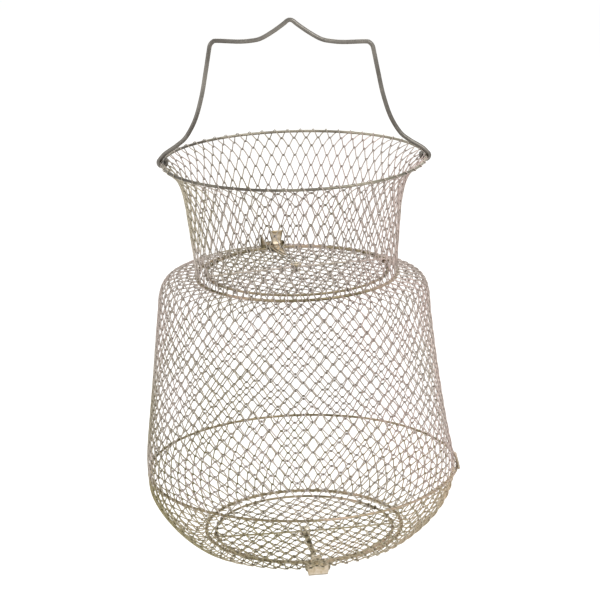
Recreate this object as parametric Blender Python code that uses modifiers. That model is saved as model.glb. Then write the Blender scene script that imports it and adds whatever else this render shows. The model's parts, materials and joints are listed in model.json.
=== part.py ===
"""Collapsible wire keep net: bail handle, trumpet collar, barrel body and bowl of
diamond wire mesh on four wire rings, with a sprung lid and a sprung bottom door.

Metres, Z up. The origin is the underside of the handle's peak, where the net hangs.
"""

import math

import bmesh
import bpy

# Gap kept between two pieces that touch on the real net
GAP = 0.0003

# Wire and sheet sizes
HANDLE_R = 0.0020
RIM_R = 0.0015
THIN_RING_R = 0.0013
MESH_WIRE = 0.0018
DOOR_MESH_WIRE = 0.0016
BAR_R = 0.0011
SPRING_R = 0.0005
PIN_R = 0.0009
RIVET_R = 0.0012
SHEET = 0.0007
BRACKET_SHEET = 0.0008

# Ring radii, to the centre of the wire
MOUTH_RADIUS = 0.137
NECK_RADIUS = 0.106
BELLY_RADIUS = 0.165

# The ring of the lid, or of the door, lies this far inside the neck or the bottom ring
CLOSURE_INSET = 0.010
DOOR_RADIUS = NECK_RADIUS - CLOSURE_INSET

# The handle's peak and its two shoulders, above the mouth ring and out from the middle
HANDLE_RISE = 0.1467
SHOULDER_RISE = 0.1240
SHOULDER_HALF = 0.0830

# Heights of the rings, with the net hanging open
COLLAR_DROP = 0.123
BODY_DROP = 0.216
BOWL_DROP = 0.070
MOUTH_Z = HANDLE_R - HANDLE_RISE
NECK_Z = MOUTH_Z - COLLAR_DROP
BELLY_Z = NECK_Z - BODY_DROP
BOTTOM_Z = BELLY_Z - BOWL_DROP

# The handle swings on the underside of the mouth ring
HOOK_DROP = RIM_R + HANDLE_R + GAP
HOOK_RADIUS = HOOK_DROP + 0.0004
HOOK_TIP_RISE = 0.0055
SWING_Z = MOUTH_Z - HOOK_DROP

# Wire mesh: cells around, and bands of cells down each stretch
CELLS = 24
PITCH = 2 * math.pi / CELLS
COLLAR_BANDS = 5
BODY_BANDS = 9
BOWL_BANDS = 4
TIP = MESH_WIRE / 2 + 3 * GAP
STEEP_TIP = MESH_WIRE / 2 + 5 * GAP

# Where each closure's hinge lies around its ring
BACK = math.pi / 2
LID_AZIMUTH = BACK + PITCH
DOOR_AZIMUTH = -BACK + PITCH / 2

# A closure lies this far outside its ring; heights below are from the ring outwards
CLOSURE_LIFT = 0.003
WEB_INNER = NECK_RADIUS - 0.0036
WEB_OUTER = WEB_INNER + BRACKET_SHEET
COIL_RADIUS = PIN_R + 0.00025 + SPRING_R
COIL_OUTER = COIL_RADIUS + SPRING_R
PIN_U = WEB_INNER - COIL_OUTER - 0.0004
STRAP_LOW = CLOSURE_LIFT + THIN_RING_R + GAP
STRAP_HIGH = STRAP_LOW + SHEET
KNUCKLE_INNER = PIN_R + GAP
KNUCKLE_OUTER = KNUCKLE_INNER + SHEET
PIN_W = STRAP_HIGH - KNUCKLE_OUTER
STRAP_HALF = 0.006
STRAP_INNER_U = DOOR_RADIUS - 0.036
COIL_START_V = STRAP_HALF + 0.0013
COIL_PITCH = 2 * SPRING_R + 0.00015
COIL_TURNS = 4
FLANGE_V = COIL_START_V + COIL_TURNS * COIL_PITCH + SPRING_R + GAP
BRACKET_HALF = FLANGE_V + BRACKET_SHEET
BRACKET_HIGH = 0.016
BRACKET_END_HALF = 0.0105
FLANGE_HIGH = 0.010
BAR_W = CLOSURE_LIFT + THIN_RING_R + GAP + BAR_R
ARM_W = BAR_W + BAR_R + 0.0004 + SPRING_R
DOOR_CELL = 0.025
CLAMP_U = (DOOR_RADIUS - 0.012, DOOR_RADIUS + 0.0008)
CLAMP_TOP = CLOSURE_LIFT - THIN_RING_R - GAP
CLAMP_LOW = CLAMP_TOP - SHEET
STRAP_RIVET_U = DOOR_RADIUS - 0.0085
CENTRE_RIVET_U = 0.0035
WASHER_RADIUS = 0.006
LEVER_RISE = 0.020

for obj in list(bpy.data.objects):
    bpy.data.objects.remove(obj, do_unlink=True)

keep_net = bpy.data.collections.new("wire_keep_net")
cutters = bpy.data.collections.new("cutters")
bpy.context.scene.collection.children.link(keep_net)
bpy.context.scene.collection.children.link(cutters)
cutters.hide_render = True


# Colours and finishes

def from_hex(text):
    """The linear colour of an sRGB hex value."""
    channels = [int(text[i:i + 2], 16) / 255 for i in (0, 2, 4)]
    linear = [c / 12.92 if c <= 0.04045 else ((c + 0.055) / 1.055) ** 2.4 for c in channels]
    return (*linear, 1.0)


def finish(name, colour, roughness, metallic):
    """A finish made new for each piece, so that each can be changed alone."""
    mat = bpy.data.materials.new(name)
    mat.use_nodes = True
    shader = mat.node_tree.nodes["Principled BSDF"]
    shader.inputs["Base Color"].default_value = from_hex(colour)
    shader.inputs["Roughness"].default_value = roughness
    shader.inputs["Metallic"].default_value = metallic
    mat.diffuse_color = from_hex(colour)
    return mat


PLATED = {
    "handle": ("8f8a80", 0.38, 1.0),
    "rim": ("857a5e", 0.36, 1.0),
    "mesh": ("b3a88f", 0.42, 1.0),
    "sheet": ("b09a70", 0.34, 1.0),
    "spring": ("7d7460", 0.32, 1.0),
    "pin": ("a39c8c", 0.30, 1.0),
}


# Helpers that make one piece each

def place(obj, kind, parent, location=(0, 0, 0), rotation=(0, 0, 0), smooth=True):
    """Gives the piece its finish and its place under its parent."""
    for collection in list(obj.users_collection):
        collection.objects.unlink(obj)
    keep_net.objects.link(obj)
    obj.data.materials.clear()
    obj.data.materials.append(finish(obj.name, *PLATED[kind]))
    obj.parent = parent
    obj.location = location
    obj.rotation_euler = rotation
    if smooth and obj.type == "MESH":
        for face in obj.data.polygons:
            face.use_smooth = True
    return obj


def frame_empty(name, parent, location, rotation=(0, 0, 0)):
    """An empty on a joint's axis, or at a ring's centre."""
    obj = bpy.data.objects.new(name, None)
    keep_net.objects.link(obj)
    obj.parent = parent
    obj.location = location
    obj.rotation_euler = rotation
    return obj


def wire_ring(name, kind, parent, radius, wire_r, z=0.0):
    """A closed ring of round wire."""
    bpy.ops.mesh.primitive_torus_add(
        major_radius=radius, minor_radius=wire_r, major_segments=48, minor_segments=6
    )
    obj = bpy.context.object
    obj.name = name
    return place(obj, kind, parent, (0, 0, z))


def rod(name, kind, parent, points, radius, closed=False, location=(0, 0, 0)):
    """Round wire along a path of points, with closed ends."""
    data = bpy.data.curves.new(name, "CURVE")
    data.dimensions = "3D"
    data.bevel_depth = radius
    data.bevel_resolution = 2 if radius > SPRING_R else 1
    data.use_fill_caps = not closed
    spline = data.splines.new("POLY")
    spline.points.add(len(points) - 1)
    for point, where in zip(spline.points, points):
        point.co = (*where, 1)
    spline.use_cyclic_u = closed
    spline.use_smooth = True
    return place(bpy.data.objects.new(name, data), kind, parent, location)


def prism(outline, low, high, axis):
    """A mesh of a flat outline, drawn out along axis u, v or w between two distances."""
    lay = {
        "u": lambda a, b, d: (d, a, b),
        "v": lambda a, b, d: (a, d, b),
        "w": lambda a, b, d: (a, b, d),
    }[axis]
    layers = [[lay(a, b, d) for a, b in outline] for d in (low, high)]
    shape = bmesh.new()
    near, far = [[shape.verts.new(p) for p in layer] for layer in layers]
    shape.faces.new(near)
    shape.faces.new(far[::-1])
    for i in range(len(outline)):
        j = (i + 1) % len(outline)
        shape.faces.new((near[j], near[i], far[i], far[j]))
    bmesh.ops.recalc_face_normals(shape, faces=shape.faces)
    mesh = bpy.data.meshes.new("prism")
    shape.to_mesh(mesh)
    shape.free()
    return mesh


def disc(centre, radius, low, high, axis, sides=16):
    """A short round bar, as a mesh."""
    ring = [
        (
            centre[0] + radius * math.cos(2 * math.pi * i / sides),
            centre[1] + radius * math.sin(2 * math.pi * i / sides),
        )
        for i in range(sides)
    ]
    return prism(ring, low, high, axis)


def built(name, kind, parent, first, added=(), cut=(), location=(0, 0, 0)):
    """A sheet piece: the first shape, others joined to it, and holes cut from it."""
    obj = place(bpy.data.objects.new(name, first), kind, parent, location, smooth=False)
    for operation, meshes in (("UNION", added), ("DIFFERENCE", cut)):
        for number, mesh in enumerate(meshes):
            tool = bpy.data.objects.new(f"{name}_{operation.lower()}_{number}", mesh)
            cutters.objects.link(tool)
            tool.parent = parent
            tool.location = location
            tool.hide_render = True
            tool.display_type = "WIRE"
            step = obj.modifiers.new(tool.name, "BOOLEAN")
            step.operation = operation
            step.solver = "EXACT"
            step.object = tool
    return obj


def turned(name, kind, parent, profile, location, rotation=(0, 0, 0)):
    """A round piece turned from a profile of (radius, height), top to bottom."""
    mesh = bpy.data.meshes.new(name)
    mesh.from_pydata(
        [(r, 0, h) for r, h in profile], [(i, i + 1) for i in range(len(profile) - 1)], []
    )
    obj = place(bpy.data.objects.new(name, mesh), kind, parent, location, rotation)
    screw = obj.modifiers.new("turn", "SCREW")
    screw.steps = 12
    screw.render_steps = 12
    screw.use_merge_vertices = True
    screw.merge_threshold = 0.00001
    screw.use_normal_flip = False
    return obj


def along(profile, count):
    """Points spaced evenly along a smooth curve through the profile."""
    fine = []
    last = len(profile) - 1
    for i in range(last):
        a, b = profile[max(i - 1, 0)], profile[i]
        c, d = profile[i + 1], profile[min(i + 2, last)]
        for step in range(12):
            t = step / 12
            fine.append(tuple(
                0.5 * (2 * q + (r - p) * t + (2 * p - 5 * q + 4 * r - s) * t * t
                       + (3 * q - p - 3 * r + s) * t ** 3)
                for p, q, r, s in zip(a, b, c, d)
            ))
    fine.append(tuple(profile[-1]))
    lengths = [0.0]
    for p, q in zip(fine, fine[1:]):
        lengths.append(lengths[-1] + math.dist(p, q))
    found = []
    at = 0
    for k in range(count):
        want = lengths[-1] * k / (count - 1)
        while at < len(fine) - 2 and lengths[at + 1] < want:
            at += 1
        t = (want - lengths[at]) / (lengths[at + 1] - lengths[at])
        found.append(tuple(p + (q - p) * t for p, q in zip(fine[at], fine[at + 1])))
    return found


def as_wires(obj, wire):
    """Turns the edges of a sheet of cells into wires."""
    wires = obj.modifiers.new("wires", "WIREFRAME")
    wires.thickness = wire
    wires.offset = 0
    wires.use_replace = True
    wires.use_boundary = True
    wires.use_even_offset = True
    return obj


def net_wall(name, parent, profile, bands, first_half):
    """A wall of diamond cells: rows of links, each turned half a cell from the last.

    profile runs down the wall as (radius, height); first_half turns the top row.
    """
    rows = along(profile, bands + 1)
    points = []
    for k, (radius, z) in enumerate(rows):
        for i in range(CELLS):
            angle = BACK + PITCH * (i + 0.5 * ((k + first_half) % 2))
            points.append((radius * math.cos(angle), radius * math.sin(angle), z))
    faces = []
    for k in range(1, bands):
        shift = (k + first_half) % 2
        for i in range(CELLS):
            beside = i + shift
            faces.append((
                k * CELLS + i,
                (k + 1) * CELLS + beside % CELLS,
                k * CELLS + (i + 1) % CELLS,
                (k - 1) * CELLS + beside % CELLS,
            ))
    mesh = bpy.data.meshes.new(name)
    mesh.from_pydata(points, [], faces)
    obj = place(bpy.data.objects.new(name, mesh), "mesh", parent, smooth=False)
    return as_wires(obj, MESH_WIRE)


def closure_mesh(name, parent, location):
    """The flat panel of diamond cells inside a lid or door ring."""
    half = DOOR_CELL / 2
    reach = DOOR_RADIUS - THIN_RING_R - DOOR_MESH_WIRE / 2 - 2 * GAP
    count = int(DOOR_RADIUS / half) + 1
    points, index, faces = [], {}, []
    for a in range(-count, count + 1):
        for b in range(-count, count + 1):
            if (a + b) % 2 or math.hypot(a, b) * half > reach - 0.45 * DOOR_CELL:
                continue
            corners = []
            for da, db in ((1, 0), (0, 1), (-1, 0), (0, -1)):
                key = (a + da, b + db)
                if key not in index:
                    index[key] = len(points)
                    points.append([key[0] * half, key[1] * half, CLOSURE_LIFT])
                corners.append(index[key])
            faces.append(corners)
    uses = [0] * len(points)
    for face in faces:
        for corner in face:
            uses[corner] += 1
    for point, used in zip(points, uses):
        radius = math.hypot(point[0], point[1])
        if used <= 2 and radius > 0.75 * reach:
            point[0] *= reach / radius
            point[1] *= reach / radius
    mesh = bpy.data.meshes.new(name)
    mesh.from_pydata(points, [], faces)
    obj = place(bpy.data.objects.new(name, mesh), "mesh", parent, location, smooth=False)
    return as_wires(obj, DOOR_MESH_WIRE)


# Handle: one wire, hooked under the mouth ring at each side

def handle_path():
    """The left half of the bail, from the hook's tip up to the peak, in (x, z)."""
    path = [(-MOUTH_RADIUS - HOOK_RADIUS, HOOK_TIP_RISE)]
    for step in range(9):
        angle = math.pi + math.pi * step / 8
        path.append((
            -MOUTH_RADIUS + HOOK_RADIUS * math.cos(angle),
            HOOK_RADIUS - HOOK_DROP + HOOK_RADIUS * math.sin(angle),
        ))
    leg = [  # shares of the way out from shoulder to ring, and of the way up
        (0.904, 0.023), (0.759, 0.089), (0.519, 0.185), (0.333, 0.355),
        (0.194, 0.548), (0.102, 0.742), (0.028, 0.911), (0.0, 0.964),
    ]
    crown = [  # shares of the way out from peak to shoulder, and of the way up between them
        (0.964, -0.035), (0.910, 0.013), (0.651, 0.0), (0.494, 0.070),
        (0.368, 0.207), (0.217, 0.529), (0.084, 0.841), (0.036, 0.965),
    ]
    spread = MOUTH_RADIUS - SHOULDER_HALF
    bend = [(-SHOULDER_HALF - spread * out, SHOULDER_RISE * up) for out, up in leg]
    top = HANDLE_RISE - SHOULDER_RISE
    bend += [(-SHOULDER_HALF * out, SHOULDER_RISE + top * up) for out, up in crown]
    return path + along(bend, 26)


half = handle_path()
peak = [(0.0, HANDLE_RISE)]
bail = half + peak + [(-x, z) for x, z in reversed(half)]
rod("handle", "handle", None, [(x, 0, z + MOUTH_Z) for x, z in bail], HANDLE_R)

# Levels of the net, each hung on the one above
swing = frame_empty("handle_swing_axis", None, (0, 0, SWING_Z))
mouth = frame_empty("mouth_level", swing, (0, 0, HOOK_DROP))
neck = frame_empty("neck_level", mouth, (0, 0, -COLLAR_DROP))
belly = frame_empty("belly_level", neck, (0, 0, -BODY_DROP))
bottom = frame_empty("bottom_level", belly, (0, 0, -BOWL_DROP))

wire_ring("mouth_ring", "rim", mouth, MOUTH_RADIUS, RIM_R)
wire_ring("neck_ring", "rim", neck, NECK_RADIUS, RIM_R)
wire_ring("belly_ring", "rim", belly, BELLY_RADIUS, THIN_RING_R)
wire_ring("bottom_ring", "rim", bottom, NECK_RADIUS, RIM_R)

collar_profile = [
    (MOUTH_RADIUS - 0.6 * (RIM_R + STEEP_TIP), -0.8 * (RIM_R + STEEP_TIP)),
    (0.1240, -0.0110),
    (0.1165, -0.0260),
    (0.1115, -0.0480),
    (0.1080, -0.0780),
    (NECK_RADIUS, -0.1050),
    (NECK_RADIUS, RIM_R + STEEP_TIP - COLLAR_DROP),
]
net_wall("collar_mesh", mouth, collar_profile, COLLAR_BANDS, 1)

body_profile = [
    (NECK_RADIUS + 0.75 * (RIM_R + TIP), -0.66 * (RIM_R + TIP)),
    (0.1240, -0.0025),
    (0.1370, -0.0090),
    (0.1430, -0.0220),
    (0.1450, -0.0420),
    (0.1500, -0.0900),
    (0.1575, -0.1500),
    (0.1635, -0.1950),
    (BELLY_RADIUS, THIN_RING_R + TIP - BODY_DROP),
]
net_wall("body_mesh", neck, body_profile, BODY_BANDS, 0)

bowl_profile = [
    (BELLY_RADIUS, -THIN_RING_R - TIP),
    (0.1610, -0.0220),
    (0.1480, -0.0440),
    (0.1290, -0.0600),
    (NECK_RADIUS + 0.8 * (RIM_R + TIP), 0.6 * (RIM_R + TIP) - BOWL_DROP),
]
net_wall("bowl_mesh", belly, bowl_profile, BOWL_BANDS, 1)


# The lid and the bottom door are the same closure, one facing up and one facing down

def arc(centre, radius, start, end, count):
    """Points on an arc, angles in degrees."""
    angles = [math.radians(start + (end - start) * i / (count - 1)) for i in range(count)]
    return [(centre[0] + radius * math.cos(a), centre[1] + radius * math.sin(a)) for a in angles]


def bracket(name, parent):
    """Sheet bracket inside the ring: web, two ears for the pin, two tabs round the ring."""
    web_outline = [
        (-BRACKET_HALF, 0.0004), (BRACKET_HALF, 0.0004), (BRACKET_HALF, FLANGE_HIGH),
        (BRACKET_END_HALF, BRACKET_HIGH), (-BRACKET_END_HALF, BRACKET_HIGH),
        (-BRACKET_HALF, FLANGE_HIGH),
    ]
    web = prism(web_outline, WEB_INNER, WEB_OUTER, "u")
    boss = [
        (PIN_U + 0.0030 * math.cos(math.radians(a)), PIN_W + 0.0030 * math.sin(math.radians(a)))
        for a in (75, 110, 145, 180, 215, 250)
    ]
    ear = boss + [
        (WEB_OUTER - 0.0001, 0.0005),
        (WEB_OUTER - 0.0001, FLANGE_HIGH - 0.0004),
        (WEB_INNER - 0.0020, FLANGE_HIGH - 0.0006),
        (WEB_INNER - 0.0020, PIN_W + 0.0032),
    ]
    ears = [
        prism(ear, side * (FLANGE_V + 0.00005), side * (BRACKET_HALF - 0.0001), "v")
        for side in (-1, 1)
    ]
    centre = (WEB_OUTER + 0.00255, 0.0)
    tab = [(WEB_INNER + 0.0001, 0.002), (WEB_OUTER - 0.0001, 0.002)]
    tab += arc(centre, 0.00255, 180, 340, 9)
    tab += arc(centre, 0.00255 + BRACKET_SHEET, 340, 180, 9)
    tabs = [prism(tab, side * 0.0050, side * 0.0095, "v") for side in (-1, 1)]
    hole = disc((PIN_U, PIN_W), PIN_R + GAP, -0.02, 0.02, "v")
    return built(name, "sheet", parent, web, ears + tabs, [hole])


def hinge_strap(name, parent, location, lever):
    """Strip from the hinge pin in over the panel, with a raised finger lever on the lid."""
    knuckle = arc((PIN_U, PIN_W), KNUCKLE_OUTER, 90, -170, 14)
    knuckle += arc((PIN_U, PIN_W), KNUCKLE_INNER, -170, 90, 14)
    strip = [(PIN_U, STRAP_HIGH)] + knuckle[1:-1] + [
        (PIN_U, STRAP_LOW), (STRAP_INNER_U, STRAP_LOW), (STRAP_INNER_U, STRAP_HIGH),
    ]
    first = prism(strip, -STRAP_HALF, STRAP_HALF, "v")
    added = []
    if lever:
        foot, bend = PIN_U - 0.0080, PIN_U - 0.0035
        tab = [
            (foot, STRAP_LOW + 0.0002), (bend, STRAP_LOW + 0.0002),
            (bend + 0.0016, STRAP_HIGH + 0.0012), (PIN_U + 0.0008, LEVER_RISE),
            (PIN_U + 0.0001, LEVER_RISE), (bend + 0.0008, STRAP_HIGH + 0.0015),
            (bend - 0.0003, STRAP_HIGH + 0.0006), (foot, STRAP_HIGH + 0.0006),
        ]
        added.append(prism(tab, 0.0002 - STRAP_HALF, STRAP_HALF - 0.0002, "v"))
    hole = disc((STRAP_RIVET_U, 0.0), RIVET_R + GAP, 0.0, 0.012, "w", 12)
    return built(name, "sheet", parent, first, added, [hole], location)


def closure_spring(name, parent, location):
    """Double torsion spring: a coil each side of the strap and a hairpin arm to the centre."""
    side = []
    steps = 10
    for step in range(COIL_TURNS * steps + 1):
        turn = step / steps
        angle = math.pi / 2 + 2 * math.pi * turn
        side.append((
            PIN_U + COIL_RADIUS * math.cos(angle),
            COIL_START_V + COIL_PITCH * (COIL_TURNS - turn),
            PIN_W + COIL_RADIUS * math.sin(angle),
        ))
    side += [
        (PIN_U - 0.0018, COIL_START_V - 0.0001, STRAP_HIGH + 0.0002),
        (DOOR_RADIUS - 0.004, COIL_START_V - 0.0004, STRAP_HIGH + 0.0004),
        (0.030, 0.0042, ARM_W - 0.0006),
        (0.004, 0.0030, ARM_W),
        (0.0, 0.0030, ARM_W),
        (-0.0021, 0.0021, ARM_W),
    ]
    path = side + [(-0.0030, 0.0, ARM_W)] + [(u, -v, w) for u, v, w in reversed(side)]
    return rod(name, "spring", parent, path, SPRING_R, location=location)


def closure(title, level, azimuth, facing, lever):
    """Makes one closure on a ring: facing 1 looks up and -1 looks down."""
    turn = (0, 0, azimuth) if facing > 0 else (math.pi, 0, azimuth)
    ring_frame = frame_empty(f"{title}_seat", level, (0, 0, 0), turn)
    hinge = frame_empty(f"{title}_hinge_axis", ring_frame, (PIN_U, 0, PIN_W))
    back = (-PIN_U, 0, -PIN_W)

    bracket(f"{title}_bracket", ring_frame)
    head = BRACKET_HALF + 0.0004
    turned(
        f"{title}_hinge_pin", "pin", ring_frame,
        [(0, head + 0.0008), (0.0017, head + 0.0008), (0.0017, head), (PIN_R, head),
         (PIN_R, -head), (0.0017, -head), (0.0017, -head - 0.0008), (0, -head - 0.0008)],
        (PIN_U, 0, PIN_W), (math.pi / 2, 0, 0),
    )

    ring = wire_ring(f"{title}_ring", "rim", hinge, DOOR_RADIUS, THIN_RING_R)
    ring.location = (-PIN_U, 0, CLOSURE_LIFT - PIN_W)
    closure_mesh(f"{title}_mesh", hinge, back)
    bar = [(0, -DOOR_RADIUS - THIN_RING_R, BAR_W), (0, DOOR_RADIUS + THIN_RING_R, BAR_W)]
    rod(f"{title}_cross_bar", "spring", hinge, bar, BAR_R, location=back)
    hinge_strap(f"{title}_strap", hinge, back, lever)
    clamp_outline = [
        (CLAMP_U[0], -STRAP_HALF), (CLAMP_U[1], -STRAP_HALF),
        (CLAMP_U[1], STRAP_HALF), (CLAMP_U[0], STRAP_HALF),
    ]
    clamp_hole = disc((STRAP_RIVET_U, 0.0), RIVET_R + GAP, -0.002, 0.006, "w", 12)
    built(
        f"{title}_clamp_plate", "sheet", hinge,
        prism(clamp_outline, CLAMP_LOW, CLAMP_TOP, "w"), cut=[clamp_hole], location=back,
    )
    rivet_top, rivet_low = STRAP_HIGH + GAP, CLAMP_LOW - GAP
    turned(
        f"{title}_strap_rivet", "pin", hinge,
        [(0, rivet_top + 0.0009), (0.0013, rivet_top + 0.0009), (0.0022, rivet_top + 0.0003),
         (0.0022, rivet_top), (RIVET_R, rivet_top), (RIVET_R, rivet_low), (0.0022, rivet_low),
         (0.0022, rivet_low - 0.0007), (0, rivet_low - 0.0007)],
        (STRAP_RIVET_U - PIN_U, 0, -PIN_W),
    )
    closure_spring(f"{title}_spring", hinge, back)
    washer_low = ARM_W + SPRING_R + GAP
    built(
        f"{title}_centre_washer", "sheet", hinge,
        disc((CENTRE_RIVET_U, 0.0), WASHER_RADIUS, washer_low, washer_low + SHEET, "w", 20),
        cut=[disc((CENTRE_RIVET_U, 0.0), RIVET_R + GAP, 0.004, 0.016, "w", 12)],
        location=back,
    )
    top = washer_low + SHEET + GAP
    low = CLOSURE_LIFT - DOOR_MESH_WIRE / 2 - 2 * GAP
    turned(
        f"{title}_centre_rivet", "pin", hinge,
        [(0, top + 0.0010), (0.0014, top + 0.0010), (0.0025, top + 0.0004), (0.0025, top),
         (RIVET_R, top), (RIVET_R, low), (WASHER_RADIUS, low),
         (WASHER_RADIUS, low - SHEET), (0, low - SHEET)],
        (CENTRE_RIVET_U - PIN_U, 0, -PIN_W),
    )


closure("lid", neck, LID_AZIMUTH, 1, True)
closure("door", bottom, DOOR_AZIMUTH, -1, False)
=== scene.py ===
import json
import math

import bpy
import numpy as np
from mathutils import Matrix, Vector


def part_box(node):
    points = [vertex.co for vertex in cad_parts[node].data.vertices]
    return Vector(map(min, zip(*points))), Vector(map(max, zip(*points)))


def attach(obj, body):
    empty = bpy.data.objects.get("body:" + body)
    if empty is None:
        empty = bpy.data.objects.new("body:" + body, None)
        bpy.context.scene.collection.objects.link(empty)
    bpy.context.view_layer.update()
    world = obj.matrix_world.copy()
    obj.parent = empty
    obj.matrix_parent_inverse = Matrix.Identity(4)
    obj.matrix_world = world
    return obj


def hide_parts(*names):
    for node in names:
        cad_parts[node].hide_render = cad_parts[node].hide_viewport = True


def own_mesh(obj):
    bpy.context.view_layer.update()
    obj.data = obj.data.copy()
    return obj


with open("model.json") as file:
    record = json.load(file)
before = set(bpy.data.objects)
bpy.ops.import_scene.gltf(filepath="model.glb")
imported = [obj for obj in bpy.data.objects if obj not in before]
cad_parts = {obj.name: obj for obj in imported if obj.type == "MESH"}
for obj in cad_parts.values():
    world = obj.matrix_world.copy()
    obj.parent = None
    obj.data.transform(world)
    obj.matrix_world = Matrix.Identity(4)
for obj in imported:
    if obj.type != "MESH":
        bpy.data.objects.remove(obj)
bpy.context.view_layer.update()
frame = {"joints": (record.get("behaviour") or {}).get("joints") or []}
mm = 0.001
print("frame loaded")


# The camera stands a little above the net and leans a touch, as the photograph does
view = {
    "elevation": 16.3,       # degrees above the horizon
    "distance": 2.55,        # metres from the target
    "target": (0.0023, 0.0, -0.2979),
    "lens": 144.3,           # mm
    "sensor": 36,            # mm
    "roll": -1.6,            # degrees
    "near": 0.05, "far": 100,
}


# A new object in the scene
def newObject(name, data):
    made = bpy.data.objects.new(name, data)
    bpy.context.scene.collection.objects.link(made)
    return made


def makeCamera():
    lens = bpy.data.cameras.new("camera")
    lens.lens, lens.sensor_width = view["lens"], view["sensor"]
    lens.clip_start, lens.clip_end = view["near"], view["far"]
    cam = newObject("camera", lens)
    rise = math.radians(view["elevation"])
    back = Vector((0, -math.cos(rise), math.sin(rise)))
    turn = back.to_track_quat("Z", "Y").to_matrix() @ Matrix.Rotation(math.radians(view["roll"]), 3, "Z")
    cam.matrix_world = Matrix.Translation(Vector(view["target"]) + back * view["distance"]) @ turn.to_4x4()
    bpy.context.scene.camera = cam


makeCamera()


# Meshes: every shape below is a grid of points, worked out as whole arrays

# Points from their coordinates, each a row of numbers or a single one
def pointsAt(*columns):
    return np.stack(np.broadcast_arrays(*columns), axis=-1)


# Evenly spaced angles, from and to the given degrees
def arc(turn, points):
    return np.radians(np.linspace(*turn, points))


# Corners of the faces between neighbouring points of a grid that is closed round its sides
def gridFaces(steps, sides, closed):
    i = np.arange(steps if closed else steps - 1)[:, None]
    j = np.arange(sides)
    nextI, nextJ = (i + 1) % steps, (j + 1) % sides
    corners = [i * sides + j, i * sides + nextJ, nextI * sides + nextJ, nextI * sides + j]
    return pointsAt(*corners).reshape(-1, 4)


# UV corners in metres: how far along the path, and how far round the section
def gridUv(along, around):
    i0, i1, j0, j1 = along[:-1, None], along[1:, None], around[:-1], around[1:]
    corners = [pointsAt(i0, j0), pointsAt(i0, j1), pointsAt(i1, j1), pointsAt(i1, j0)]
    return np.stack(corners, axis=2).reshape(-1, 2)


# A shape being gathered: points, four-cornered faces, end caps, UV corners and one value per point
class Shape:
    def __init__(self):
        self.points, self.quads, self.caps, self.uvs, self.marks = [], [], [], [], []
        self.count = 0

    def add(self, grid, along, around, closed=False, mark=None):
        steps, sides = grid.shape[:2]
        self.points.append(grid.reshape(-1, 3))
        self.quads.append(gridFaces(steps, sides, closed) + self.count)
        self.uvs.append(gridUv(along, around))
        mark = np.zeros(steps) if mark is None else mark
        self.marks.append(mark if len(mark) == steps * sides else np.repeat(mark, sides))
        if not closed:
            first = np.arange(sides) + self.count
            self.caps += [first[::-1], first + (steps - 1) * sides]
        self.count += steps * sides

    # Turns what was gathered into an object with smooth faces, a UV map and a point attribute of painted
    # shade and tarnish at the links and rims, that rides on its body in its node's place
    def build(self, name, metal, body, node, slot, fold=None):
        points = np.concatenate(self.points)
        quads = np.concatenate(self.quads)
        uvs = np.concatenate(self.uvs)
        sizes = np.concatenate([np.full(len(quads), 4), [len(c) for c in self.caps]]).astype(np.int32)
        corners = np.concatenate([quads.reshape(-1), *self.caps]).astype(np.int32)
        starts = np.concatenate([[0], np.cumsum(sizes)[:-1]]).astype(np.int32)
        mesh = bpy.data.meshes.new(name)
        mesh.vertices.add(len(points))
        mesh.vertices.foreach_set("co", points.astype(np.float32).reshape(-1))
        mesh.loops.add(len(corners))
        mesh.loops.foreach_set("vertex_index", corners)
        mesh.polygons.add(len(sizes))
        mesh.polygons.foreach_set("loop_start", starts)
        mesh.update(calc_edges=True)
        mesh.validate()
        capUv = np.zeros((len(corners) - len(uvs), 2))
        layer = mesh.uv_layers.new(name="alongWire")
        layer.data.foreach_set("uv", np.concatenate([uvs, capUv]).astype(np.float32).reshape(-1))
        mark = mesh.attributes.new("link", "FLOAT", "POINT")
        mark.data.foreach_set("value", np.concatenate(self.marks).astype(np.float32))
        mesh.shade_smooth()
        mesh.materials.append(metals[metal])
        piece = newObject(name, mesh)
        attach(piece, body)
        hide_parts(node)
        if fold:
            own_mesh(piece)


# Each vector made one metre long
def unit(vectors):
    return vectors / np.linalg.norm(vectors, axis=-1, keepdims=True)


# Distance along a path at each of its points, and back at its start too if it is closed
def lengthsAlong(path, closed=False):
    path = np.concatenate([path, path[:1]]) if closed else path
    return np.concatenate([[0], np.cumsum(np.linalg.norm(np.diff(path, axis=0), axis=1))])


# Direction of a path at each of its points, by central differences
def directions(path, closed=False):
    if closed:
        return unit(np.roll(path, -1, axis=0) - np.roll(path, 1, axis=0))
    return unit(np.gradient(path, axis=0))


# The rounded end of a wire: how far out its rings lie and how wide they are, as shares of the radius
domeOut = np.array([1.0, 0.8, 0.45])
domeWide = np.sqrt(1 - domeOut ** 2) + 0.04


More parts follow.
